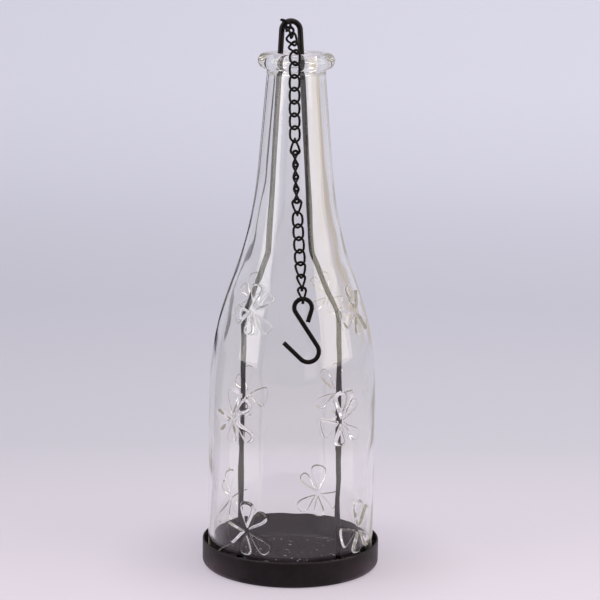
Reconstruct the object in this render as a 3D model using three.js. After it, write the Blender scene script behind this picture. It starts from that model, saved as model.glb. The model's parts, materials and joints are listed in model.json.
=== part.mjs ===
// Hanging bottle candle holder: a clear bottle with no bottom stands in a metal tray, and a wire welded to
// the tray runs up through the bottle to a loop above its mouth. A curb chain with an S-hook hangs on the
// loop and lies over the lip and down the front of the glass.
// Units are millimetres, +Z is up, the front faces -Y, and the origin is the centre of the tray's underside.

import * as THREE from 'three';

// Driving dimensions: tray, pressed from sheet metal
const traySheet = 1.2;
const trayWallHeight = 14;
const trayCornerRadius = 3;
const trayPlay = 1.8;

// Driving dimensions: bottle, pressed clear glass
const bodyDiameter = 88;
const glassWall = 2.8;
const bodyHeight = 83.5;
const shoulderHeight = 132;
const shoulderRound = 69;
const neckSweep = 70;
const neckBaseDiameter = 38;
const neckTopDiameter = 30.6;
const neckHeight = 44;
const lipDiameter = 39.8;
const lipHeight = 8.6;
const lipHollow = 3.1;
const mouthRound = 2;
const footRound = 0.8;

// Driving dimensions: hanger wire, one length of bent wire with its two feet on the tray floor
const hangerWireDiameter = 2.9;
const loopRise = 17.4;
const neckOffset = -2.85;
const legPlayInNeck = 2.2;
const upperBendDrop = 49;
const upperBendSpan = 22.6;
const upperBendOffset = -2.2;
const kneeRise = 50;
const kneeSpan = 50;
const footSpan = 52.4;
const footOffset = -0.85;
const legBendRadius = 14;

// Driving dimensions: curb chain of closed, twisted links
const linkWireDiameter = 1.3;
const linkPitch = 6.48;
const linkSidePlay = 0.4;
const linkCount = 24;
const linkTwist = -90;
const slackInEdgeLinks = 0.3;

// Driving dimensions: route of the chain over the lip and down the glass
const chainOffsetAtLip = -0.8;
const chainDrift = 13.5;
const restDrop = 12;
const chainPlay = 0.8;
const lipPlay = 1.1;

// Driving dimensions: S-hook, with a closed eye above and an open hook below
const hookWireDiameter = 2.3;
const hookEyeDiameter = 8.9;
const hookEyeOffset = 0.3;
const hookEyeEnd = 6.4;
const hookEyeEndAngle = 16;
const hookBendDiameter = 10.8;
const hookBendDrop = 22.2;
const hookBendOffset = 3.2;
const hookLeg = 12.1;
const hookLegAngle = 47;

// Gap kept between pieces that rest on or hang in one another
const seatGap = 0.3;

// Numbers of facets, and of steps along curves
const latheSegments = 48;
const shoulderSteps = 18;
const innerShoulderSteps = 12;
const lipSteps = 12;
const cornerSteps = 5;
const edgeSteps = 4;
const footSteps = 3;
const wireSides = 8;
const bendStep = 15;
const hookEyeSteps = 18;
const hookBendSteps = 12;
const linkSides = 6;
const linkSteps = 20;
const routeSteps = 40;
const sampleSteps = 240;

// Colours and finishes
const blackMetal = { color: 0x1f191b, roughness: 0.42, metalness: 0.55 };
const clearGlass = { color: 0xe4ebea, roughness: 0.04, metalness: 0, transparent: true, opacity: 0.35 };

const radians = THREE.MathUtils.degToRad;
const group = new THREE.Group();

function addPiece(name, geometry, finish) {
  const mesh = new THREE.Mesh(geometry, new THREE.MeshStandardMaterial(finish));
  mesh.name = name;
  group.add(mesh);
  return mesh;
}

// Points of an arc in a plane, from one angle to another in degrees
function arcPoints(x, y, radius, from, to, steps) {
  const points = [];
  for (let i = 0; i <= steps; i += 1) {
    const angle = radians(from + ((to - from) * i) / steps);
    points.push(new THREE.Vector2(x + radius * Math.cos(angle), y + radius * Math.sin(angle)));
  }
  return points;
}

// A profile of radius and height turned about the vertical axis
function turned(profile) {
  const geometry = new THREE.LatheGeometry(profile, latheSegments);
  geometry.rotateX(Math.PI / 2);
  return geometry;
}

// Heights of the bottle's features above the ground
const trayRadius = bodyDiameter / 2 + trayPlay + traySheet;
const footZ = traySheet + seatGap;
const bodyTopZ = footZ + bodyHeight;
const neckBaseZ = bodyTopZ + shoulderHeight;
const neckTopZ = neckBaseZ + neckHeight;
const lipCentreZ = neckTopZ + lipHollow + lipHeight / 2;
const lipTopZ = lipCentreZ + lipHeight / 2;
const lipCentreRadius = (lipDiameter - lipHeight) / 2;
const boreRadius = neckTopDiameter / 2 - glassWall;

// Tray: flat floor, rounded corner and upright wall with a rounded rim
function trayProfile() {
  const rim = traySheet / 2;
  const innerCorner = Math.max(trayCornerRadius - traySheet, rim);
  const cornerX = trayRadius - trayCornerRadius;
  const innerX = trayRadius - traySheet - innerCorner;
  return [
    new THREE.Vector2(0, 0),
    ...arcPoints(cornerX, trayCornerRadius, trayCornerRadius, -90, 0, cornerSteps),
    ...arcPoints(trayRadius - rim, trayWallHeight - rim, rim, 0, 180, edgeSteps),
    ...arcPoints(innerX, traySheet + innerCorner, innerCorner, 0, -90, cornerSteps),
    new THREE.Vector2(0, traySheet),
  ];
}

addPiece('tray', turned(trayProfile()), blackMetal);

// Shoulder of the bottle: the body's upright line sweeping into the neck's taper
const neckTaper = (neckBaseDiameter - neckTopDiameter) / 2 / neckHeight;
const shoulder = new THREE.CubicBezierCurve(
  new THREE.Vector2(bodyDiameter / 2, bodyTopZ),
  new THREE.Vector2(bodyDiameter / 2, bodyTopZ + shoulderRound),
  new THREE.Vector2(neckBaseDiameter / 2 + neckTaper * neckSweep, neckBaseZ - neckSweep),
  new THREE.Vector2(neckBaseDiameter / 2, neckBaseZ),
);

// Bottle: the outside from the foot up to the lip, then the inside back down
function bottleProfile() {
  const outerRadius = bodyDiameter / 2;
  const innerRadius = outerRadius - glassWall;
  const inward = new THREE.Vector2(glassWall, 0);
  const outside = shoulder.getPoints(shoulderSteps);
  const inside = shoulder.getPoints(innerShoulderSteps).reverse().map((point) => point.sub(inward));
  const foot = arcPoints(innerRadius + footRound, footZ + footRound, footRound, 180, 270, footSteps);
  return [
    ...foot,
    ...arcPoints(outerRadius - footRound, footZ + footRound, footRound, 270, 360, footSteps),
    ...outside,
    new THREE.Vector2(neckTopDiameter / 2, neckTopZ),
    ...arcPoints(lipCentreRadius, lipCentreZ, lipHeight / 2, -90, 90, lipSteps),
    ...arcPoints(boreRadius + mouthRound, lipTopZ - mouthRound, mouthRound, 90, 180, edgeSteps),
    new THREE.Vector2(boreRadius, neckTopZ),
    ...inside,
    foot[0].clone(),
  ];
}

addPiece('glass_bottle', turned(bottleProfile()), clearGlass);

// Radius of the outside of the glass at a height on the straight side, the shoulder or the neck
const shoulderSamples = shoulder.getPoints(sampleSteps);
function glassRadius(z) {
  if (z <= bodyTopZ) {
    return bodyDiameter / 2;
  }
  if (z >= neckBaseZ) {
    return neckBaseDiameter / 2 - neckTaper * (z - neckBaseZ);
  }
  const above = shoulderSamples.findIndex((point) => point.y >= z);
  const low = shoulderSamples[above - 1];
  const high = shoulderSamples[above];
  return THREE.MathUtils.mapLinear(z, low.y, high.y, low.x, high.x);
}

// A route through fixed stations, for wire that is swept along it
class WireRoute extends THREE.Curve {
  constructor(stations) {
    super();
    this.stations = stations;
  }

  getUtoTmapping(u) {
    return u;
  }

  getPoint(t) {
    const place = t * (this.stations.length - 1);
    const index = Math.min(Math.floor(place), this.stations.length - 2);
    return this.stations[index].clone().lerp(this.stations[index + 1], place - index);
  }

  getTangent(t) {
    const last = this.stations.length - 1;
    const index = Math.round(t * last);
    const before = this.stations[Math.max(index - 1, 0)];
    const here = this.stations[index];
    const after = this.stations[Math.min(index + 1, last)];
    const arriving = here.clone().sub(before).normalize();
    const leaving = after.clone().sub(here).normalize();
    return arriving.add(leaving).normalize();
  }
}

// Round wire swept along its stations, closed at both ends
function sweptWire(stations, diameter) {
  const section = new THREE.Shape(arcPoints(0, 0, diameter / 2, 0, 360, wireSides).slice(0, wireSides));
  const route = new WireRoute(stations);
  const options = { steps: stations.length - 1, bevelEnabled: false, extrudePath: route };
  return new THREE.ExtrudeGeometry(section, options);
}

// Bends a run of corners into stations, with an arc of the given radius at each inner corner
function bentWire(corners, bendRadii) {
  const stations = [corners[0]];
  const bends = [];
  for (let i = 1; i < corners.length - 1; i += 1) {
    const arriving = corners[i].clone().sub(corners[i - 1]).normalize();
    const leaving = corners[i + 1].clone().sub(corners[i]).normalize();
    const turn = arriving.angleTo(leaving);
    const setback = bendRadii[i - 1] * Math.tan(turn / 2);
    const start = corners[i].clone().addScaledVector(arriving, -setback);
    const toCentre = leaving.clone().addScaledVector(arriving, -leaving.dot(arriving)).normalize();
    const centre = start.clone().addScaledVector(toCentre, bendRadii[i - 1]);
    const steps = Math.max(2, Math.ceil(THREE.MathUtils.radToDeg(turn) / bendStep));
    const arc = [];
    for (let k = 0; k <= steps; k += 1) {
      const angle = (turn * k) / steps;
      const point = centre.clone().addScaledVector(toCentre, -bendRadii[i - 1] * Math.cos(angle));
      arc.push(point.addScaledVector(arriving, bendRadii[i - 1] * Math.sin(angle)));
    }
    stations.push(...arc);
    bends.push({ centre, toCentre, arriving, turn, radius: bendRadii[i - 1] });
  }
  stations.push(corners[corners.length - 1]);
  return { stations, bends };
}

// Hanger wire: feet on the tray floor, knees, upper bends and the loop, all in the XZ plane
const hangerRadius = hangerWireDiameter / 2;
const upperBendZ = neckBaseZ - upperBendDrop;
const kneeZ = bodyTopZ + kneeRise;
const loopTopZ = lipTopZ + loopRise - hangerRadius;
const neckHalfSpan = boreRadius - hangerRadius - legPlayInNeck - Math.abs(neckOffset);

// How far a leg leans inwards for each length of height, and where it ends at the loop
function legSlope(side) {
  const atBend = side * upperBendOffset + upperBendSpan / 2;
  const atNeck = side * neckOffset + neckHalfSpan;
  return (atBend - atNeck) / (neckTopZ - upperBendZ);
}

function loopX(side) {
  return neckOffset + side * (neckHalfSpan - legSlope(side) * (loopTopZ - neckTopZ));
}

function hangerLeg(side) {
  return [
    new THREE.Vector3(footOffset + (side * footSpan) / 2, 0, traySheet + seatGap),
    new THREE.Vector3(footOffset + (side * kneeSpan) / 2, 0, kneeZ),
    new THREE.Vector3(upperBendOffset + (side * upperBendSpan) / 2, 0, upperBendZ),
    new THREE.Vector3(loopX(side), 0, loopTopZ),
  ];
}

function loopBendRadius(side) {
  const turn = Math.PI / 2 - Math.atan(legSlope(side));
  return (loopX(1) - loopX(-1)) / 2 / Math.tan(turn / 2);
}

const hangerCorners = [...hangerLeg(-1), ...hangerLeg(1).reverse()];
const legBends = [legBendRadius, legBendRadius];
const loopBends = [loopBendRadius(-1), loopBendRadius(1)];
const hanger = bentWire(hangerCorners, [...legBends, ...loopBends, ...legBends]);

addPiece('hanger_wire', sweptWire(hanger.stations, hangerWireDiameter), blackMetal);

// Chain link: a round-ended loop of wire, twisted end to end so that the chain lies flat
const linkHalfLength = (linkPitch + linkWireDiameter + seatGap) / 2;
const linkHalfWidth = hangerRadius + linkSidePlay + linkWireDiameter / 2;
const linkFlank = linkHalfLength - linkHalfWidth;

class LinkCentreline extends THREE.Curve {
  getPoint(t) {
    const quarter = (Math.PI / 2) * linkHalfWidth;
    const length = 4 * (linkFlank + quarter);
    let run = ((t % 1) * length + linkFlank) % length;
    const upward = run < length / 2;
    run = upward ? run : run - length / 2;
    const side = upward ? 1 : -1;
    let across = linkHalfWidth;
    let along = run - linkFlank;
    if (run > 2 * linkFlank) {
      const angle = (run - 2 * linkFlank) / linkHalfWidth;
      across = linkHalfWidth * Math.cos(angle);
      along = linkFlank + linkHalfWidth * Math.sin(angle);
    }
    const twist = (radians(linkTwist) / 2) * ((side * along) / linkHalfLength);
    const reach = side * across;
    return new THREE.Vector3(reach * Math.cos(twist), reach * Math.sin(twist), side * along);
  }
}

function linkGeometry() {
  return new THREE.TubeGeometry(new LinkCentreline(), linkSteps, linkWireDiameter / 2, linkSides, true);
}

// Turn of a link about the chain, in degrees: most lie flat, some stand on edge, the second eases the first
// one's turn away, and the last few stand on edge too, nearly square to the hook's eye
const edgeLinks = { 12: -45, 13: -90, 14: -90, 15: -90, 16: -90, 17: -135 };
const turnsFromLast = [57, 57, 27];
function linkTurn(number) {
  const toLast = linkCount - number;
  if (number <= 2) {
    return firstTurn / number;
  }
  if (toLast < turnsFromLast.length) {
    return turnsFromLast[toLast];
  }
  return edgeLinks[number] ?? 0;
}

// Greatest reach of a link away from the chain's line, towards the glass
function linkReach(turn) {
  const points = new LinkCentreline().getPoints(sampleSteps);
  const depth = (point) => Math.abs(point.x * Math.sin(radians(turn)) + point.y * Math.cos(radians(turn)));
  return Math.max(...points.map(depth)) + linkWireDiameter / 2;
}

const linkFlatReach = linkReach(0);
function turnedReach(number) {
  return linkReach(linkTurn(number)) - linkFlatReach;
}

// Hang point: the middle of the loop's left bend, and the way the wire runs there
const leftBend = hanger.bends[2];
const hangAngle = leftBend.turn / 2;
const hangPoint = leftBend.centre.clone()
  .addScaledVector(leftBend.toCentre, -leftBend.radius * Math.cos(hangAngle))
  .addScaledVector(leftBend.arriving, leftBend.radius * Math.sin(hangAngle));
const hangTangent = leftBend.arriving.clone().multiplyScalar(Math.cos(hangAngle))
  .addScaledVector(leftBend.toCentre, Math.sin(hangAngle));

// Route of the chain: over the lip, straight down to the shoulder, then along the glass
const lipStandoff = lipHeight / 2 + linkFlatReach + lipPlay;
const clearOfLip = lipCentreRadius + lipStandoff;
const restZ = neckBaseZ - restDrop;

function chainSide(z) {
  const fall = Math.max(lipCentreZ - z, 0) / (lipCentreZ - bodyTopZ);
  return chainOffsetAtLip + chainDrift * fall * fall;
}

function onGlass(z) {
  const x = chainSide(z);
  const reach = glassRadius(z) + linkFlatReach + chainPlay;
  return new THREE.Vector3(x, -Math.sqrt(reach * reach - x * x), z);
}

function chainRoute(start) {
  const stations = [start];
  const away = new THREE.Vector2(-start.y - lipCentreRadius, start.z - lipCentreZ);
  const opening = Math.acos(lipStandoff / away.length());
  const first = THREE.MathUtils.radToDeg(away.angle() - opening);
  for (const point of arcPoints(lipCentreRadius, lipCentreZ, lipStandoff, first, 0, routeSteps)) {
    stations.push(new THREE.Vector3(chainOffsetAtLip, -point.x, point.y));
  }
  const rest = onGlass(restZ);
  for (let i = 1; i <= routeSteps; i += 1) {
    const z = THREE.MathUtils.lerp(lipCentreZ, restZ, i / routeSteps);
    const y = THREE.MathUtils.lerp(-clearOfLip, rest.y, i / routeSteps);
    stations.push(new THREE.Vector3(chainSide(z), y, z));
  }
  for (let z = restZ - 1; z > trayWallHeight; z -= 1) {
    stations.push(onGlass(z));
  }
  return stations;
}

// The next point along the route that lies a link's pitch from the last one, stood off by a turned link
function stepAlong(stations, from, fromIndex, pitch, offset) {
  const outward = new THREE.Vector3(0, -offset, 0);
  const pointAt = (index, share) => stations[index].clone().lerp(stations[index + 1], share).add(outward);
  let index = fromIndex;
  while (pointAt(index, 1).distanceTo(from) < pitch) {
    index += 1;
  }
  const halvings = 40;
  let near = 0;
  let far = 1;
  for (let i = 0; i < halvings; i += 1) {
    const middle = (near + far) / 2;
    if (pointAt(index, middle).distanceTo(from) < pitch) {
      near = middle;
    } else {
      far = middle;
    }
  }
  return { point: pointAt(index, far), index };
}

// Frame of a piece on the chain: its side, its upward line along the chain, and the way it faces
function chainFrame(direction, turn) {
  const up = direction.clone().negate();
  const side = new THREE.Vector3(1, 0, 0).addScaledVector(up, -up.x).normalize();
  const facing = new THREE.Vector3().crossVectors(up, side);
  const frame = new THREE.Matrix4().makeBasis(side, facing, up);
  return frame.multiply(new THREE.Matrix4().makeRotationZ(radians(turn)));
}

function addLink(number, centre, direction, turn) {
  const name = `chain_link_${String(number).padStart(2, '0')}`;
  const link = addPiece(name, linkGeometry(), blackMetal);
  link.quaternion.setFromRotationMatrix(chainFrame(direction, turn));
  link.position.copy(centre);
  return link;
}

// First link: square to the loop's wire, with its upper end behind the wire
const lipPoint = new THREE.Vector3(chainOffsetAtLip, -lipCentreRadius, lipCentreZ + lipStandoff);
const firstDirection = lipPoint.clone().sub(hangPoint);
firstDirection.addScaledVector(hangTangent, -firstDirection.dot(hangTangent)).normalize();
const firstEnd = hangerRadius + seatGap + linkWireDiameter / 2;
const firstCentre = hangPoint.clone().addScaledVector(firstDirection, linkHalfLength - firstEnd);
const acrossWire = new THREE.Vector3().crossVectors(hangTangent, firstDirection);
const firstFrame = chainFrame(firstDirection, 0).invert();
const acrossInFrame = acrossWire.applyMatrix4(firstFrame);
const acrossAngle = THREE.MathUtils.radToDeg(Math.atan2(acrossInFrame.y, acrossInFrame.x));
const twistAtWire = (linkTwist / 2) * (1 - firstEnd / 2 / linkHalfLength);
const firstTurn = acrossAngle - twistAtWire;
addLink(1, firstCentre, firstDirection, firstTurn);

// The other links follow the route, each from the junction where the one before it ends
let junction = firstCentre.clone().addScaledVector(firstDirection, linkPitch / 2);
const route = chainRoute(junction.clone());
let routeIndex = 0;
let lastDirection = firstDirection;
for (let number = 2; number <= linkCount; number += 1) {
  const slack = number in edgeLinks ? slackInEdgeLinks : 0;
  const following = Math.min(number + 1, linkCount);
  const offset = Math.max(turnedReach(number), turnedReach(following));
  const next = stepAlong(route, junction, routeIndex, linkPitch - slack, offset);
  lastDirection = next.point.clone().sub(junction).normalize();
  addLink(number, junction.clone().lerp(next.point, 0.5), lastDirection, linkTurn(number));
  junction = next.point;
  routeIndex = next.index;
}

// S-hook in its own plane: the end of the eye, the eye, the shank, the lower bend and the open leg
function hookStations() {
  const eyeRadius = hookEyeDiameter / 2;
  const bendRadius = hookBendDiameter / 2;
  const eye = new THREE.Vector2(hookEyeOffset, -eyeRadius);
  const bend = new THREE.Vector2(hookBendOffset, -eyeRadius - hookBendDrop);
  const span = bend.clone().sub(eye);
  const bearing = THREE.MathUtils.radToDeg(span.angle());
  const opening = THREE.MathUtils.radToDeg(Math.acos((eyeRadius + bendRadius) / span.length()));
  const shankAngle = bearing - opening;
  const eyeArc = arcPoints(eye.x, eye.y, eyeRadius, -hookEyeEndAngle, shankAngle, hookEyeSteps);
  const bendArc = arcPoints(bend.x, bend.y, bendRadius, shankAngle - 180, hookLegAngle - 180, hookBendSteps);
  const tip = new THREE.Vector2(-Math.sin(radians(hookEyeEndAngle)), -Math.cos(radians(hookEyeEndAngle)));
  const open = new THREE.Vector2(-Math.sin(radians(hookLegAngle)), Math.cos(radians(hookLegAngle)));
  const start = eyeArc[0].clone().addScaledVector(tip, hookEyeEnd);
  const end = bendArc[bendArc.length - 1].clone().addScaledVector(open, hookLeg);
  const outline = [start, ...eyeArc, ...bendArc, end];
  return outline.map((point) => new THREE.Vector3(point.x, 0, point.y));
}

// The hook lies against the glass: its plane leans out until it clears the widest part behind it
const hookStationsFlat = hookStations();
const eyeAboveLink = linkWireDiameter / 2 + seatGap + hookWireDiameter / 2;
const lastEnd = junction.clone().addScaledVector(lastDirection, (linkWireDiameter + seatGap) / 2);
const hookTop = lastEnd.clone().addScaledVector(lastDirection, -eyeAboveLink);
const hookClearance = hookWireDiameter / 2 + chainPlay;
let hookLean = 0;
for (const station of hookStationsFlat) {
  const drop = -station.z;
  const z = hookTop.z - drop;
  const x = hookTop.x + station.x;
  const reach = glassRadius(z) + hookClearance;
  const needed = Math.sqrt(Math.max(reach * reach - x * x, 0)) + hookTop.y;
  if (drop > hookWireDiameter) {
    hookLean = Math.max(hookLean, Math.atan2(needed, drop));
  }
}
const hookDirection = new THREE.Vector3(0, -Math.sin(hookLean), -Math.cos(hookLean));
const hook = addPiece('s_hook', sweptWire(hookStationsFlat, hookWireDiameter), blackMetal);
hook.quaternion.setFromRotationMatrix(chainFrame(hookDirection, 0));
hook.position.copy(hookTop);

export default group;
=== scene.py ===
# Hanging bottle candle holder, in the order it is put together: tray, wire hanger, glass bottle, chain, S-hook,
# and then the table and studio around it. Lengths are metres, +Z is up and the front faces -Y.
import json
import math

import bmesh
import bpy
import numpy
from mathutils import Matrix, Vector


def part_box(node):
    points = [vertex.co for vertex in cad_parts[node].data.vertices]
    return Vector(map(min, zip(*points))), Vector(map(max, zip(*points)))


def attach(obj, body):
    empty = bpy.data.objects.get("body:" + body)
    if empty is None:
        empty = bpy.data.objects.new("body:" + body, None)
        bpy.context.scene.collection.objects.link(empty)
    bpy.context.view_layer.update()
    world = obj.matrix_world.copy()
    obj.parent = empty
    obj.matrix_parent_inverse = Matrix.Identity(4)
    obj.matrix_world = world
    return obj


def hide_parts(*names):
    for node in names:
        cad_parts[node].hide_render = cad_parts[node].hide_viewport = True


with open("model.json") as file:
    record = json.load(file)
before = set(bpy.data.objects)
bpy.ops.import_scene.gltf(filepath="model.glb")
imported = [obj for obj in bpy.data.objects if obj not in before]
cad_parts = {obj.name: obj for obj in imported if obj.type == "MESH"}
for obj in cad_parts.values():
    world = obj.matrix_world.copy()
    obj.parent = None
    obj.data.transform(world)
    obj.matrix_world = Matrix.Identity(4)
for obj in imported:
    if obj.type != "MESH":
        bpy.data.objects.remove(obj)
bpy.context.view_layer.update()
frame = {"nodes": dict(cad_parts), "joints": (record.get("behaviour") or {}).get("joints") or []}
mm = 0.001


# Tray: a shallow round pan pressed from 1.2 mm steel sheet, with a flat floor, a rounded corner and an upright
# wall whose rim is rolled smooth. It is sprayed satin black, and a little dust lies on its floor.
tray_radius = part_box("tray")[1].x
tray_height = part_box("tray")[1].z
tray_sheet = 1.2 * mm
tray_corner = 3 * mm
tray_segments = 144
lacquer_black = (0.0058, 0.0036, 0.0042, 1)
lacquer_bloom = (0.0098, 0.0066, 0.0078, 1)
matt_black = (0.0095, 0.0054, 0.0074, 1)
matt_bloom = (0.035, 0.021, 0.029, 1)
dust_grey = (0.45, 0.42, 0.42, 1)
worn_edge = (0.035, 0.03, 0.032, 1)


def arc(across, height, radius, start, end, steps):
    """Points of a round in a profile, with its angles in degrees."""
    angles = [math.radians(start + (end - start) * i / steps) for i in range(steps + 1)]
    return [(across + radius * math.cos(a), height + radius * math.sin(a)) for a in angles]


def start_piece(name):
    """Names the new primitive and opens it in edit mode, all selected."""
    piece = bpy.context.object
    piece.name = piece.data.name = name
    bpy.ops.object.mode_set(mode="EDIT")
    bpy.ops.mesh.select_all(action="SELECT")
    return piece


def close_piece(piece):
    """Closes the seams, turns the faces outwards and leaves the place of the piece in its mesh."""
    bpy.ops.mesh.select_all(action="SELECT")
    bpy.ops.mesh.remove_doubles(threshold=2e-7)
    bpy.ops.mesh.normals_make_consistent(inside=False)
    bpy.ops.object.mode_set(mode="OBJECT")
    bpy.ops.object.transform_apply(location=True, rotation=True, scale=True)
    bpy.ops.object.shade_smooth()
    return piece


def turned_piece(name, profile, segments):
    """A profile drawn point by point and spun once round the bottle's axis."""
    bpy.ops.object.select_all(action="DESELECT")
    bpy.ops.mesh.primitive_plane_add(size=mm, location=(profile[0][0], 0, profile[0][1]))
    piece = start_piece(name)
    bpy.ops.mesh.merge(type="CENTER")
    for (across, height), (next_across, next_height) in zip(profile, profile[1:]):
        move = (next_across - across, 0, next_height - height)
        bpy.ops.mesh.extrude_region_move(TRANSFORM_OT_translate={"value": move})
    bpy.ops.mesh.select_all(action="SELECT")
    bpy.ops.mesh.spin(steps=segments, angle=2 * math.pi, center=(0, 0, 0), axis=(0, 0, 1))
    return close_piece(piece)


class Shade:
    """A socket of a finish: sums on it add Math nodes, and node() adds any other kind of node."""

    def __init__(self, tree, socket=None):
        self.tree = tree
        self.socket = socket

    def node(self, kind, settings=None, inputs=None, output=0):
        made = self.tree.nodes.new("ShaderNode" + kind)
        for name, value in (settings or {}).items():
            if name == "stops":
                ramp = made.color_ramp.elements
                for place, _ in value[2:]:
                    ramp.new(place)
                for stop, (place, colour) in zip(ramp, value):
                    stop.position = place
                    stop.color = colour
            else:
                setattr(made, name, value)
        for name, value in (inputs or {}).items():
            if isinstance(value, Shade):
                self.tree.links.new(value.socket, made.inputs[name])
            else:
                made.inputs[name].default_value = value
        return Shade(self.tree, made.outputs[output] if made.outputs else None)

    def sum(self, operation, first, second):
        return self.node("Math", {"operation": operation}, {0: first, 1: second})

    def __add__(self, other):
        return self.sum("ADD", self, other)

    def __sub__(self, other):
        return self.sum("SUBTRACT", self, other)

    def __rsub__(self, other):
        return self.sum("SUBTRACT", other, self)

    def __mul__(self, other):
        return self.sum("MULTIPLY", self, other)

    def __truediv__(self, other):
        return self.sum("DIVIDE", self, other)

    __radd__ = __add__
    __rmul__ = __mul__

    def over(self, low, high):
        """0 below low, 1 above high, and a soft step between."""
        limits = {"Value": self, "From Min": low, "From Max": high}
        return self.node("MapRange", {"interpolation_type": "SMOOTHSTEP"}, limits)

    def band(self, start, full, fading, end):
        """1 from full to fading, 0 before start and after end, and soft steps between."""
        return self.over(start, full) * (1 - self.over(fading, end))

    def between(self, low, high):
        """The colour low where this is 0, and high where it is 1."""
        return self.node("Mix", {"data_type": "RGBA"}, {0: self, 6: low, 7: high}, 2)


def new_finish(name):
    material = bpy.data.materials.new(name)
    material.use_nodes = True
    material.node_tree.nodes.clear()
    return material, Shade(material.node_tree)


def noise(finish, place, scale, detail=3.0):
    return finish.node("TexNoise", inputs={"Vector": place, "Scale": scale, "Detail": detail})


def black_lacquer(name, black, bloom, roughness, gloss, dust=0.0, worn_from=1, worn_to=2):
    """Sprayed black: a cloudy bloom, orange peel, dust on level faces, and an edge worn paler above a height."""
    material, finish = new_finish(name)
    place = finish.node("TexCoord", output="Object")
    broad_clouds = noise(finish, place, 90).over(0.35, 0.7)
    fine_clouds = noise(finish, place, 300, 4.0).over(0.4, 0.6)
    clouds = broad_clouds * 0.5 + fine_clouds * 0.5
    peel = noise(finish, place, 1400, 2.0)
    height = finish.node("SeparateXYZ", inputs={0: place}, output="Z")
    facing = finish.node("SeparateXYZ", inputs={0: finish.node("NewGeometry", output="Normal")}, output="Z")
    specks = noise(finish, place, 360, 1.0).over(0.7, 0.72) * facing.over(0.7, 0.95) * dust
    edge = height.over(worn_from, worn_to) * noise(finish, place, 400).over(0.35, 0.65) * 0.5
    colour = clouds.between(black, bloom)
    colour = edge.between(colour, worn_edge)
    colour = specks.between(colour, dust_grey)
    sheen = roughness + (clouds - 0.5) * 0.14 + specks * 0.3
    bump = finish.node("Bump", inputs={"Strength": 0.25, "Distance": 0.00006, "Height": peel})
    surface = finish.node("BsdfPrincipled", inputs={
        "Base Color": colour, "Roughness": sheen, "Normal": bump, "Specular IOR Level": gloss})
    finish.node("OutputMaterial", inputs={"Surface": surface})
    return material


rim = tray_sheet / 2
inner_corner = tray_corner - tray_sheet
wall_inside = tray_radius - tray_sheet
floor_rings = (6, 12, 18, 24, 30, 36, 41)
tray_profile = [(0, 0)]
tray_profile += [(r * mm, 0) for r in floor_rings]
tray_profile += arc(tray_radius - tray_corner, tray_corner, tray_corner, -90, 0, 10)
tray_profile += arc(tray_radius - rim, tray_height - rim, rim, 0, 180, 10)
tray_profile += arc(wall_inside - inner_corner, tray_sheet + inner_corner, inner_corner, 0, -90, 8)
tray_profile += [(r * mm, tray_sheet) for r in reversed(floor_rings)]
tray_profile += [(0, tray_sheet)]
tray = turned_piece("black_tray", tray_profile, tray_segments)
tray_lacquer = black_lacquer("tray_lacquer", lacquer_black, lacquer_bloom, 0.42, 0.2,
                             worn_from=tray_height - 1.2 * mm, worn_to=tray_height)
tray_inside = black_lacquer("tray_inside", matt_black, matt_bloom, 0.75, 0.15, dust=0.8)
tray.data.materials.append(tray_lacquer)
tray.data.materials.append(tray_inside)
for face in tray.data.polygons:
    within = math.hypot(face.center.x, face.center.y) < tray_radius - rim
    face.material_index = int(within and face.center.z > tray_sheet / 2)
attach(tray, "base")
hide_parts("tray")


# Wire hanger: one length of 2.9 mm steel wire bent to shape, sprayed black with the tray. Its two feet are welded
# to the tray's floor, its legs run up inside the bottle, and its loop stands out of the mouth.
hanger_wire = 2.9 * mm
hanger_top_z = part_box("hanger_wire")[1].z - hanger_wire / 2
hanger_sides = 20
leg_bend = 14 * mm
bend_step = math.radians(5)
wire_end_break = 0.06
# Left and right points of the legs, across and above the ground in millimetres
foot_points = [(-27.05, 1.5), (25.35, 1.5)]
knee_points = [(-25.85, 135), (24.15, 135)]
upper_points = [(-13.5, 168), (9.1, 168)]
neck_points = [(-8.85, 261), (3.15, 261)]


def bend_wire(name, start, right, up, heading, moves, wire, sides):
    """Round wire run out and bent in a plane: a move is a length to run, or a radius and an angle to bend."""
    normal = right.cross(up)
    place = Vector(start)
    ahead = right * math.cos(heading) + up * math.sin(heading)
    bpy.ops.object.select_all(action="DESELECT")
    bpy.ops.mesh.primitive_circle_add(
        vertices=sides, radius=wire / 2, fill_type="NGON", location=place,
        rotation=ahead.to_track_quat("Z", "Y").to_euler())
    piece = start_piece(name)
    for length, radius, angle in moves:
        if radius == 0:
            bpy.ops.mesh.extrude_region_move(TRANSFORM_OT_translate={"value": ahead * length})
            place = place + ahead * length
        else:
            centre = place + normal.cross(ahead) * math.copysign(radius, angle)
            steps = math.ceil(abs(angle) / bend_step)
            bpy.ops.mesh.spin(steps=steps, angle=-angle, center=centre, axis=normal)
            turn = Matrix.Rotation(angle, 3, normal)
            place = centre + turn @ (place - centre)
            ahead = turn @ ahead
    mesh = bmesh.from_edit_mesh(piece.data)
    ends = [face for face in mesh.faces if len(face.verts) == sides]
    bpy.ops.mesh.select_all(action="DESELECT")
    for face in ends:
        face.select_set(True)
    bmesh.update_edit_mesh(piece.data)
    bpy.ops.mesh.bevel(offset=wire * wire_end_break, segments=2, affect="EDGES")
    return close_piece(piece)


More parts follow.
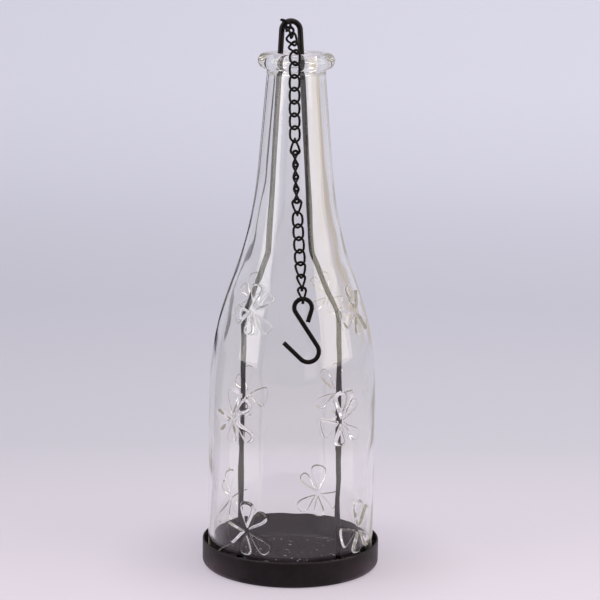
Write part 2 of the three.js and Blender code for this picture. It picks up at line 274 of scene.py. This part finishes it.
def moves_round(corners, radii):
    """The runs and bends that take a wire through corners in a plane."""
    points = [Vector(c) for c in corners]
    moves = []
    used = 0
    for i in range(1, len(points) - 1):
        arriving = (points[i] - points[i - 1]).normalized()
        leaving = (points[i + 1] - points[i]).normalized()
        angle = math.atan2(arriving.x * leaving.y - arriving.y * leaving.x, arriving.dot(leaving))
        setback = radii[i - 1] * math.tan(abs(angle) / 2)
        run = (points[i] - points[i - 1]).length - used - setback
        if run > 1e-6:
            moves.append((run, 0, 0))
        moves.append((0, radii[i - 1], angle))
        used = setback
    moves.append(((points[-1] - points[-2]).length - used, 0, 0))
    return moves


leg_slopes = [(neck[0] - upper[0]) / (neck[1] - upper[1]) for upper, neck in zip(upper_points, neck_points)]
loop_points = [(neck[0] + slope * (hanger_top_z / mm - neck[1]), hanger_top_z / mm)
               for neck, slope in zip(neck_points, leg_slopes)]
loop_half_span = (loop_points[1][0] - loop_points[0][0]) / 2 * mm
loop_bends = [loop_half_span / math.tan((math.pi / 2 - math.atan(abs(slope))) / 2) for slope in leg_slopes]
left_leg = [(x * mm, z * mm) for x, z in (foot_points[0], knee_points[0], upper_points[0])]
right_leg = [(x * mm, z * mm) for x, z in (upper_points[1], knee_points[1], foot_points[1])]
loop_corners = [(x * mm, z * mm) for x, z in loop_points]
hanger_corners = left_leg + loop_corners + right_leg
hanger_moves = moves_round(hanger_corners, [leg_bend, leg_bend] + loop_bends + [leg_bend, leg_bend])
first_leg = Vector(hanger_corners[1]) - Vector(hanger_corners[0])
across_x = Vector((1, 0, 0))
upright = Vector((0, 0, 1))
hanger_start = (hanger_corners[0][0], 0, hanger_corners[0][1])
hanger = bend_wire("wire_hanger", hanger_start, across_x, upright, math.atan2(first_leg.y, first_leg.x),
                   hanger_moves, hanger_wire, hanger_sides)
wire_lacquer = black_lacquer("wire_lacquer", lacquer_black, lacquer_bloom, 0.38, 0.2,
                             worn_from=hanger_top_z + 0.6 * mm, worn_to=hanger_top_z + 1.4 * mm)
hanger.data.materials.append(wire_lacquer)
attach(hanger, "base")
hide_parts("hanger_wire")


# Welds: a bead of run metal round each foot of the wire, which holds it to the tray's floor. The beads are uneven
# and are sprayed over with the same black.
weld_reach = 1.9 * mm
weld_height = 2.1 * mm
weld_inside = hanger_wire / 2 - 0.2 * mm
weld_outside = hanger_wire / 2 + weld_reach
weld_hollow = weld_reach + 0.1 * mm
weld_top_z = tray_sheet + weld_height
weld_segments = 32
weld_lumps = bpy.data.textures.new("weld_lumps", "CLOUDS")
weld_lumps.noise_scale = 1.6 * mm
bead_profile = [(weld_inside, weld_top_z)]
bead_profile += [(weld_outside + x * weld_hollow, weld_top_z + z * weld_height)
                 for x, z in arc(0, 0, 1, 180, 270, 8)]
bead_profile += [(weld_inside, tray_sheet), (weld_inside, weld_top_z)]
for side, (foot_x, _) in zip(("left", "right"), foot_points):
    bead = turned_piece(side + "_weld", bead_profile, weld_segments)
    lumps = bead.modifiers.new("lumps", "DISPLACE")
    lumps.texture = weld_lumps
    lumps.strength = 0.5 * mm
    lumps.mid_level = 0.6
    bpy.ops.object.modifier_apply(modifier="lumps")
    bpy.ops.transform.translate(value=(foot_x * mm, 0, 0))
    bpy.ops.object.transform_apply(location=True, rotation=True, scale=True)
    bead.data.materials.append(wire_lacquer)
    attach(bead, "base")


# Bottle: clear pressed glass in the form of a wine bottle with its bottom cut off, so that it slips over the wire
# and stands in the tray. Three rows of flowers are raised on it, each of five flat petals with rounded edges, and
# its lip is a ring.
glass_low, glass_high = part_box("glass_bottle")
glass_wall = 2.8 * mm
body_radius = glass_high.x
body_bore = body_radius - glass_wall
body_top_z = 85 * mm
shoulder_round = 69 * mm
neck_sweep = 70 * mm
neck_base_z = 217 * mm
neck_base_radius = 19 * mm
neck_top_z = 261 * mm
neck_top_radius = 15.3 * mm
lip_height = 8.6 * mm
lip_round_z = glass_high.z - lip_height / 2
lip_round_radius = 19.9 * mm - lip_height / 2
bore_radius = neck_top_radius - glass_wall
mouth_round = 2 * mm
foot_round = 0.8 * mm
bottle_segments = 144
row_pitch = 1.9 * mm
inner_row_pitch = 2.5 * row_pitch
shoulder_rows = 72
neck_rows = 16
wave_height = 0.5 * mm
neck_taper = (neck_base_radius - neck_top_radius) / (neck_top_z - neck_base_z)
shoulder_handles = numpy.array([
    (body_radius, body_top_z), (body_radius, body_top_z + shoulder_round),
    (neck_base_radius + neck_taper * neck_sweep, neck_base_z - neck_sweep), (neck_base_radius, neck_base_z)])


def shoulder_line(steps):
    """The sweep from the upright body into the neck, as points from the bottom up."""
    t = numpy.linspace(0, 1, steps + 1)[:, None]
    a, b, c, d = shoulder_handles
    return a * (1 - t) ** 3 + b * 3 * t * (1 - t) ** 2 + c * 3 * t ** 2 * (1 - t) + d * t ** 3


def body_line(radius, start_z, end_z, pitch):
    steps = round((end_z - start_z) / pitch)
    return [(radius, start_z + (end_z - start_z) * i / steps) for i in range(1, steps)]


foot_z = glass_low.z
outside_line = arc(body_radius - foot_round, foot_z + foot_round, foot_round, 270, 360, 5)
outside_line += body_line(body_radius, foot_z + foot_round, body_top_z, row_pitch)
outside_line += [tuple(p) for p in shoulder_line(shoulder_rows)]
outside_line += [(neck_base_radius - neck_taper * (z - neck_base_z), z)
                 for z in numpy.linspace(neck_base_z, neck_top_z, neck_rows)[1:]]
outside_line += arc(lip_round_radius, lip_round_z, lip_height / 2, -90, 90, 20)
inside_line = arc(bore_radius + mouth_round, glass_high.z - mouth_round, mouth_round, 90, 180, 6)
inside_line += [(bore_radius, neck_top_z)]
inside_line += [(x - glass_wall, z) for x, z in reversed(shoulder_line(shoulder_rows // 2))]
inside_line += reversed(body_line(body_bore, foot_z + foot_round, body_top_z, inner_row_pitch))
inside_line += arc(body_bore + foot_round, foot_z + foot_round, foot_round, 180, 270, 4)
bottle_profile = outside_line + inside_line + outside_line[:1]
bottle = turned_piece("clear_bottle", bottle_profile, bottle_segments)

# Petals: direction in degrees, reach and half width in millimetres, and how square the outer end is
petals = ((90, 15.5, 4.1, 5), (45, 14.3, 3.1, 5), (-40, 16, 3.4, 6), (-93, 13, 3.4, 5), (195, 12.8, 5.6, 12))
petal_start = 1.2
petal_height = 1.2 * mm
petal_edge = 1.4
petal_margin = 1.0
petal_cuts = 5
petal_grain = 0.16
outline_steps = 260
# Flowers: turn round the bottle from the front, height of the centre in millimetres, and scale
flowers = ((-34, 142.5, 0.93), (59, 141, 0.93), (148, 140, 0.93), (225, 140, 0.93),
           (-43, 87, 1), (35, 87, 1), (145, 86, 1), (216, 84, 1),
           (-30.5, 28.5, 1), (52.3, 27, 1), (158.8, 27, 1), (232.8, 28, 1))


def outer_radius(heights):
    line = numpy.array(outside_line)
    return numpy.interp(heights, line[:, 1], line[:, 0])


def glass_lean(height):
    """Length along the glass for each length of height."""
    return math.hypot(1, (outer_radius(height + mm) - outer_radius(height - mm)) / (2 * mm))


def on_flower(points, flower):
    """How far points of the glass lie across and above a flower's centre, in its own millimetres."""
    turn, height, scale = flower
    away = (numpy.degrees(numpy.arctan2(points[:, 0], -points[:, 1])) - turn + 180) % 360 - 180
    across = numpy.radians(away) * numpy.hypot(points[:, 0], points[:, 1]) / mm / scale
    return across, (points[:, 2] / mm - height) * glass_lean(height * mm) / scale


def on_glass(across, upward, flower):
    """The points of the glass at places on a flower."""
    turn, height, scale = flower
    z = (height + upward * scale / glass_lean(height * mm)) * mm
    radius = outer_radius(z)
    angle = math.radians(turn) + across * scale * mm / radius
    return numpy.column_stack((radius * numpy.sin(angle), -radius * numpy.cos(angle), z))


def petal_half(share, half_width, square):
    """Half the width of a petal at a share of its length, from a point at the flower's centre."""
    widest = (1 / (1 + square / 2)) ** (1 / square)
    return half_width * share * numpy.sqrt(1 - share ** square) / (widest * math.sqrt(1 - widest ** square))


def petal_outline(petal):
    """Points round a petal, the ones of its outer end closer together."""
    direction, reach, half_width, square = petal
    c, s = math.cos(math.radians(direction)), math.sin(math.radians(direction))
    share = 1 - numpy.linspace(1, 0, outline_steps) ** 2
    along = petal_start + (reach - petal_start) * share
    half = petal_half(share, half_width, square)
    left = numpy.column_stack((along * c - half * s, along * s + half * c))
    right = numpy.column_stack((along * c + half * s, along * s - half * c))
    return numpy.vstack((left, right))


def beside_petal(points, flower, petal):
    """The points near a petal, how far inside its outline each one lies, and the outline's nearest place."""
    direction, reach, half_width, square = petal
    c, s = math.cos(math.radians(direction)), math.sin(math.radians(direction))
    across, upward = on_flower(points, flower)
    outline = petal_outline(petal)
    low, high = outline.min(axis=0) - petal_margin, outline.max(axis=0) + petal_margin
    outer = numpy.abs(numpy.hypot(points[:, 0], points[:, 1]) - outer_radius(points[:, 2])) < 0.5 * mm
    near = numpy.nonzero(outer & (across > low[0]) & (across < high[0])
                         & (upward > low[1]) & (upward < high[1]))[0]
    places = numpy.column_stack((across[near], upward[near]))
    gaps = numpy.hypot(*(places[:, None, :] - outline[None, :, :]).transpose(2, 0, 1))
    along = places @ (c, s)
    beside = places @ (-s, c)
    share = numpy.clip((along - petal_start) / (reach - petal_start), 0, 1)
    inside = numpy.abs(beside) < petal_half(share, half_width, square)
    depth = gaps.min(axis=1) * numpy.where(inside, 1, -1)
    return near, depth, outline[gaps.argmin(axis=1)]


bpy.ops.object.mode_set(mode="EDIT")
bpy.ops.mesh.select_mode(type="FACE")
bpy.ops.mesh.select_all(action="DESELECT")
glass_faces = bmesh.from_edit_mesh(bottle.data)
glass_faces.faces.ensure_lookup_table()
centres = numpy.array([face.calc_center_median() for face in glass_faces.faces])
every_petal = [(flower, petal) for flower in flowers for petal in petals]
for flower, petal in every_petal:
    near, depth, _ = beside_petal(centres, flower, petal)
    for index in near[depth > -petal_margin]:
        glass_faces.faces[index].select_set(True)
bmesh.update_edit_mesh(bottle.data)
bpy.ops.mesh.subdivide(number_cuts=petal_cuts)
bpy.ops.object.mode_set(mode="OBJECT")
glass_points = numpy.array([v.co for v in bottle.data.vertices])
on_outline = numpy.zeros(len(glass_points), bool)
for flower, petal in every_petal:
    near, depth, nearest = beside_petal(glass_points, flower, petal)
    close = numpy.abs(depth) < petal_grain
    glass_points[near[close]] = on_glass(*nearest[close].T, flower)
    on_outline[near[close]] = True
bottle.data.vertices.foreach_set("co", glass_points.ravel())
rises = numpy.zeros(len(glass_points))
for flower, petal in every_petal:
    near, depth, _ = beside_petal(glass_points, flower, petal)
    short = 1 - numpy.clip(depth / petal_edge, 0, 1)
    rises[near] = numpy.maximum(rises[near], flower[2] * numpy.sqrt(1 - short ** 2))
rises[on_outline] = 0
raised = bottle.vertex_groups.new(name="petals")
for index in numpy.nonzero(rises)[0]:
    raised.add([int(index)], float(rises[index]), "REPLACE")
pressing = bottle.modifiers.new("pressing", "DISPLACE")
pressing.vertex_group = "petals"
pressing.strength = petal_height
pressing.mid_level = 0
bpy.ops.object.modifier_apply(modifier="pressing")

inner_wall = bottle.vertex_groups.new(name="inner_wall")
for vertex in bottle.data.vertices:
    if math.hypot(vertex.co.x, vertex.co.y) < outer_radius(vertex.co.z) - glass_wall * 0.8:
        inner_wall.add([vertex.index], 1, "REPLACE")
glass_waves = bpy.data.textures.new("glass_waves", "CLOUDS")
glass_waves.noise_scale = 16 * mm
glass_waves.noise_depth = 1
waves = bottle.modifiers.new("waves", "DISPLACE")
waves.texture = glass_waves
waves.vertex_group = "inner_wall"
waves.strength = wave_height
waves.mid_level = 0.5
bpy.ops.object.modifier_apply(modifier="waves")

# Painted light: the glass glows pale olive on paths of four or more glossy bounces, in place of light that is
# caught in the wall and mirrored along it
clear_tint = (0.965, 0.962, 0.945, 1)
painted_trapped_glow = (0.16, 0.148, 0.125, 1)
no_light = (0, 0, 0, 1)
glass, clear = new_finish("clear_glass")
glass.cycles.emission_sampling = "NONE"
glass_place = clear.node("TexCoord", output="Object")
smear = noise(clear, glass_place, 30).over(0.5, 0.8) * 0.012
trapped = clear.node("LightPath", output="Glossy Depth").over(3.4, 3.6)
glass_surface = clear.node("BsdfPrincipled", inputs={
    "Base Color": clear_tint, "Roughness": smear, "IOR": 1.5, "Transmission Weight": 1.0,
    "Emission Color": trapped.between(no_light, painted_trapped_glow), "Emission Strength": 1.0})
clear.node("OutputMaterial", inputs={"Surface": glass_surface})
bottle.data.materials.append(glass)
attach(bottle, "bottle")
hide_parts("glass_bottle")


# Chain: 24 closed links of 1.3 mm steel wire, each bent round, butted at the middle of one side and twisted a
# quarter turn, so that the chain lies flat. It hangs on the loop and lies over the lip and down the glass.
# A touch thinner than the real wire, so that links stay clear of each other at the ends of their turns
link_wire = 1.26 * mm
link_half_width = 2.5 * mm
link_half_length = 4.04 * mm
link_twist = math.radians(-90)
link_count = 24
link_segments = 44
link_sides = 14
chain_black = (0.0036, 0.0024, 0.0026, 1)
chain_bloom = (0.0066, 0.0046, 0.0049, 1)


def cad_axes(node):
    """The middle of a CAD piece and its own axes, the longest first."""
    points = numpy.array([v.co for v in frame["nodes"][node].data.vertices])
    middle = points.mean(axis=0)
    axes = numpy.linalg.eigh(numpy.cov((points - middle).T))[1]
    return Vector(middle), [Vector(axes[:, i]) for i in (2, 1, 0)]


bpy.ops.object.select_all(action="DESELECT")
bpy.ops.mesh.primitive_torus_add(
    major_segments=link_segments, minor_segments=link_sides, major_radius=link_half_width,
    minor_radius=link_wire / 2, rotation=(math.pi / 2, 0, 0))
link_pattern = start_piece("chain_link")
bpy.ops.object.mode_set(mode="OBJECT")
bpy.ops.object.transform_apply(location=True, rotation=True, scale=True)
for end in (1, -1):
    bpy.ops.object.mode_set(mode="EDIT")
    bpy.ops.mesh.select_mode(type="VERT")
    bpy.ops.mesh.select_all(action="DESELECT")
    link_mesh = bmesh.from_edit_mesh(link_pattern.data)
    for vertex in link_mesh.verts:
        vertex.select_set(end * vertex.co.z > 1e-6)
    bmesh.update_edit_mesh(link_pattern.data)
    bpy.ops.transform.translate(value=(0, 0, end * (link_half_length - link_half_width)))
    bpy.ops.object.mode_set(mode="OBJECT")
twisting = link_pattern.modifiers.new("twisting", "SIMPLE_DEFORM")
twisting.deform_method = "TWIST"
twisting.deform_axis = "Z"
twisting.angle = link_twist * (link_half_length + link_wire / 2) / link_half_length
bpy.ops.object.modifier_apply(modifier="twisting")
bpy.ops.object.shade_smooth()
chain_lacquer = black_lacquer("chain_lacquer", chain_black, chain_bloom, 0.45, 0.1)
link_pattern.data.materials.append(chain_lacquer)
for number in range(1, link_count + 1):
    name = f"chain_link_{number:02d}"
    middle, (along, across, _) = cad_axes(name)
    through = along.cross(across)
    link = link_pattern.copy()
    link.data = link_pattern.data.copy()
    link.name = link.data.name = f"wire_link_{number:02d}"
    bpy.context.scene.collection.objects.link(link)
    placing = Matrix((across, through, along)).transposed().to_4x4()
    link.data.transform(Matrix.Translation(middle) @ placing)
    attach(link, f"link_{number:02d}")
    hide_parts(name)
bpy.data.objects.remove(link_pattern)


# S-hook: 2.3 mm wire bent into a closed eye, which holds the last link, and an open hook below it. The ends are
# cut square with their edges broken, and the wire is sprayed with the chain.
hook_wire = 2.3 * mm
hook_eye = 8.9 / 2 * mm
hook_eye_offset = 0.3 * mm
hook_eye_end = 6.4 * mm
hook_eye_end_angle = math.radians(16)
hook_bend = 10.8 / 2 * mm
hook_bend_offset = 3.2 * mm
hook_bend_drop = 22.2 * mm
hook_leg = 12.1 * mm
hook_leg_angle = math.radians(47)
hook_top = Vector(next(j["pos_m"] for j in frame["joints"] if j["name"] == "hook_swing"))
hook_facing = cad_axes("s_hook")[1][2]
hook_facing = hook_facing * math.copysign(1, hook_facing.y)
hook_facing = (hook_facing - across_x * hook_facing.x).normalized()
hook_up = across_x.cross(hook_facing)
eye_centre = Vector((hook_eye_offset, -hook_eye))
bend_centre = Vector((hook_bend_offset, -hook_eye - hook_bend_drop))
eye_to_bend = bend_centre - eye_centre
shank_angle = math.atan2(eye_to_bend.y, eye_to_bend.x) - math.acos((hook_eye + hook_bend) / eye_to_bend.length)
shank = math.sqrt(eye_to_bend.length ** 2 - (hook_eye + hook_bend) ** 2)
eye_turn = (shank_angle + hook_eye_end_angle) % (2 * math.pi)
bend_turn = (hook_leg_angle - shank_angle) % (2 * math.pi) - 2 * math.pi
eye_start = eye_centre + hook_eye * Vector((math.cos(hook_eye_end_angle), -math.sin(hook_eye_end_angle)))
end_way = Vector((math.sin(hook_eye_end_angle), math.cos(hook_eye_end_angle)))
hook_start = eye_start - end_way * hook_eye_end
hook_moves = [(hook_eye_end, 0, 0), (0, hook_eye, eye_turn), (shank, 0, 0),
              (0, hook_bend, bend_turn), (hook_leg, 0, 0)]
hook_place = hook_top + across_x * hook_start.x + hook_up * hook_start.y
hook_heading = math.pi / 2 - hook_eye_end_angle
hook = bend_wire("hook", hook_place, across_x, hook_up, hook_heading, hook_moves, hook_wire, hanger_sides)
hook.data.materials.append(chain_lacquer)
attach(hook, "hook")
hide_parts("s_hook")


# Studio: a pale sweep of paper that is table and background in one, two soft boxes beside the camera and a soft
# light above. Out of view, a dark patch on the left and a warm one on the right are painted reflections on the
# paper, seen only in what the glass bends and the surfaces mirror, and they draw the edges of the glass.
paper_near = (0.722, 0.66, 0.75, 1)
paper_under = (0.672, 0.632, 0.716, 1)
paper_dusk = (0.612, 0.592, 0.672, 1)
paper_middle = (0.622, 0.612, 0.71, 1)
paper_far = (0.82, 0.815, 0.94, 1)
painted_front_shade = (0.5, 0.4, 0.48, 1)
left_painted_shade = (0.955, 0.955, 0.955, 1)
right_painted_light = (1.045, 1.045, 1.045, 1)
contact_shade = (0.9, 0.9, 0.9, 1)
no_shade = (1, 1, 1, 1)
dark_reflection_colour = (0.004, 0.003, 0.003, 1)
warm_reflection_colour = (0.55, 0.44, 0.28, 1)
cream_reflection_colour = (0.64, 0.585, 0.6, 1)
painted_glow_beside = (2.6, 2.5, 2.3, 1)
painted_glow_at_tray = (1.75, 1.3, 1.6, 1)
painted_shade_before = (0.1, 0.03, 0.07, 1)
painted_light_behind = (0.74, 0.7, 0.83, 1)
glow_share = 0.62
paper_width = 4
paper_rise = 2
sweep_back = 1.3
sweep_bend = 0.5
sweep_steps = 16
bpy.ops.object.select_all(action="DESELECT")
bpy.ops.mesh.primitive_plane_add(size=1, location=(0, 0, 0))
paper = start_piece("paper_sweep")
bpy.ops.transform.resize(value=(paper_width, 2 * sweep_back, 1))
bpy.ops.mesh.select_mode(type="EDGE")
bpy.ops.mesh.select_all(action="DESELECT")
paper_mesh = bmesh.from_edit_mesh(paper.data)
for edge in paper_mesh.edges:
    edge.select_set(all(v.co.y > 0 for v in edge.verts))
bmesh.update_edit_mesh(paper.data)
bpy.ops.mesh.spin(steps=sweep_steps, angle=-math.pi / 2, center=(0, sweep_back, sweep_bend), axis=(1, 0, 0))
bpy.ops.mesh.extrude_region_move(TRANSFORM_OT_translate={"value": (0, 0, paper_rise)})
bpy.ops.mesh.select_all(action="SELECT")
bpy.ops.mesh.normals_make_consistent(inside=False)
bpy.ops.object.mode_set(mode="OBJECT")
bpy.ops.object.shade_smooth()
paper_finish, sheet = new_finish("paper")


def shaded(colour, shade):
    return sheet.node("Mix", {"data_type": "RGBA", "blend_type": "MULTIPLY"}, {0: 1.0, 6: colour, 7: shade}, 2)


paper_place = sheet.node("TexCoord", output="Object")
paper_x = sheet.node("SeparateXYZ", inputs={0: paper_place}, output="X")
paper_y = sheet.node("SeparateXYZ", inputs={0: paper_place}, output="Y")
paper_z = sheet.node("SeparateXYZ", inputs={0: paper_place}, output="Z")
paper_out = sheet.node("VectorMath", {"operation": "LENGTH"}, {0: paper_place}, "Value")
paper_run = (paper_y + paper_z + 0.2) * 0.5
# Painted light and shade along the sweep: the paper is lighter near the object, darker further back on the floor
# and lighter again up the wall
paper_colour = sheet.node("ValToRGB", {"stops": [
    (0.06, paper_near), (0.16, paper_under), (0.22, paper_dusk), (0.46, paper_middle),
    (0.95, paper_far)]}, {0: paper_run})
# Painted light and shade: the paper is lighter to the right and darker to the left, then a painted contact shade
# darkens it round the tray
paper_colour = shaded(paper_colour, paper_x.over(-0.6, 0.6).between(left_painted_shade, right_painted_light))
paper_colour = shaded(paper_colour, paper_out.over(0.047, 0.11).between(contact_shade, no_shade))
# The camera sees the plain paper. What follows is painted reflection and painted light, only in what the glass
# bends and the surfaces mirror.
direct = sheet.node("LightPath", output="Is Camera Ray")
through = sheet.node("LightPath", output="Is Transmission Ray")
mirrored = sheet.node("LightPath", output="Is Glossy Ray") * (1 - through)
indirect = mirrored + through
across_bottle = sheet.node("LightPath", output="Transmission Depth").over(3, 3.5)
rightward = paper_x / paper_y
leftward = 0 - rightward
frontward = 0 - paper_y
far_off = (paper_y + paper_z).over(0.6, 0.72)
# Left painted dark reflection: whole to light that is caught in the wall, only its near edge to light across the
# bottle
dark_reflection_edge = leftward.band(0.27, 0.28, 0.33, 0.35)
left_dark_reflection = leftward.band(0.26, 0.28, 0.52, 0.58) * far_off * (1 - across_bottle * (1 - dark_reflection_edge))
left_dark_reflection = left_dark_reflection + leftward.band(1.1, 1.3, 2.6, 3.2) * paper_y.over(0, 0.1) * mirrored
# Right painted warm reflection, and a painted cream tint in light that crosses the bottle
right_warm_reflection = rightward.band(0.17, 0.23, 0.36, 0.42) * far_off
right_painted_cream = rightward.band(0.04, 0.17, 0.17, 0.23) * far_off * across_bottle
# Painted shade: mirrors show the paper in front of the object darker
beside_colour = (frontward.over(0.08, 0.17) * mirrored).between(paper_colour, painted_front_shade)
beside_colour = right_painted_cream.between(beside_colour, cream_reflection_colour)
beside_colour = left_dark_reflection.between(beside_colour, dark_reflection_colour)
beside_colour = right_warm_reflection.between(beside_colour, warm_reflection_colour)
# Floor in front, only as mirrors show it: painted shade before the glass, and painted light to the left and right
# of it and beside the tray. Behind the glass, painted light in what the glass bends.
front_side = frontward.over(0.0, 0.02) * (1 - paper_z.over(0, 0.01))
painted_lit_floor = (paper_x * paper_x / (paper_y * paper_y)).over(0.5, 0.62) * front_side * mirrored
before_glass = paper_out.band(0.07, 0.09, 0.105, 0.145) * front_side * mirrored
beside_glass = paper_out.band(0.17, 0.24, 0.27, 0.34) * painted_lit_floor
beside_tray = (1 - paper_out.over(0.06, 0.08)) * painted_lit_floor
behind_glass = paper_y.band(0.06, 0.13, 0.2, 0.26) * through
beside_colour = before_glass.between(beside_colour, painted_shade_before)
beside_colour = beside_glass.between(beside_colour, painted_glow_beside)
beside_colour = beside_tray.between(beside_colour, painted_glow_at_tray)
beside_colour = behind_glass.between(beside_colour, painted_light_behind)
glow_colour = direct.between(beside_colour, paper_colour)
seen = (direct + indirect).over(0, 1) * glow_share + left_dark_reflection * indirect * (1 - glow_share)
paper_lit = sheet.node("BsdfDiffuse", inputs={"Color": paper_colour})
paper_glow = sheet.node("Emission", inputs={"Color": glow_colour, "Strength": 1.0})
paper_mix = sheet.node("MixShader", inputs={0: seen, 1: paper_lit, 2: paper_glow})
sheet.node("OutputMaterial", inputs={"Surface": paper_mix})
paper.data.materials.append(paper_finish)

# Air: even light from all round. Surfaces mirror a dark room behind the camera, with one lit wall on its right.
air_left = (0.55, 0.54, 0.57, 1)
air_right = (0.67, 0.62, 0.57, 1)
room_dark = (0.05, 0.05, 0.055, 1)
wall_lit = (1.7, 1.5, 1.6, 1)
world = bpy.data.worlds.new("studio_air")
bpy.context.scene.world = world
world.use_nodes = True
world.node_tree.nodes.clear()
air = Shade(world.node_tree)
air_way = air.node("TexCoord", output="Generated")
air_across = air.node("SeparateXYZ", inputs={0: air_way}, output="X")
air_front = 0 - air.node("SeparateXYZ", inputs={0: air_way}, output="Y")
air_up = air.node("SeparateXYZ", inputs={0: air_way}, output="Z")
room = air_front.over(0.3, 0.8) * (1 - air_up.over(0.2, 0.5))
wall = (air_across / air_front).band(0.26, 0.34, 0.6, 0.75) * air_front.over(0.3, 0.5)
wall = wall * air_up.band(-0.06, -0.03, 0.08, 0.14)
air_colour = air_across.over(-0.4, 0.4).between(air_left, air_right)
air_colour = room.between(air_colour, room_dark)
air_colour = wall.between(air_colour, wall_lit)
air_direct = air.node("LightPath", output="Is Camera Ray")
air_through = air.node("LightPath", output="Is Transmission Ray")
air_colour = (air_direct + air_through).between(air_colour, paper_far)
air_glow = air.node("Background", inputs={"Color": air_colour, "Strength": 0.8})
air.node("OutputWorld", inputs={"Surface": air_glow})


def soft_box(name, place, aim, width, height, power, tone):
    lamp = bpy.data.lights.new(name, "AREA")
    lamp.shape = "RECTANGLE"
    lamp.size = width
    lamp.size_y = height
    lamp.energy = power
    lamp.color = tone
    box = bpy.data.objects.new(name, lamp)
    box.location = place
    box.rotation_euler = (Vector(aim) - Vector(place)).to_track_quat("-Z", "Y").to_euler()
    box.visible_camera = False
    bpy.context.scene.collection.objects.link(box)


soft_box("left_soft_box", (-0.505, -0.241, 0.53), (0, 0, 0.53), 0.31, 0.84, 2.2, (1, 0.955, 0.905))
soft_box("right_soft_box", (0.525, -0.223, 0.525), (0, 0, 0.525), 0.53, 0.84, 3.3, (1, 0.92, 0.77))
soft_box("top_soft_box", (0, -0.2, 1.2), (0, 0, 0), 0.9, 0.9, 7, (1, 1, 1))

camera_place = Vector((3.426, -1116.354, 362.295)) * mm
camera_pitch = math.radians(11.109)
camera_roll = math.radians(0.766)
picture_side = 600
focal_pixels = 2169.114
camera_data = bpy.data.cameras.new("camera")
camera_data.lens = camera_data.sensor_width * focal_pixels / picture_side
camera = bpy.data.objects.new("camera", camera_data)
turned = Matrix.Rotation(math.pi / 2 - camera_pitch, 4, "X") @ Matrix.Rotation(camera_roll, 4, "Z")
camera.matrix_world = Matrix.Translation(camera_place) @ turned
bpy.context.scene.collection.objects.link(camera)
bpy.context.scene.camera = camera
bpy.context.scene.view_settings.view_transform = "Standard"
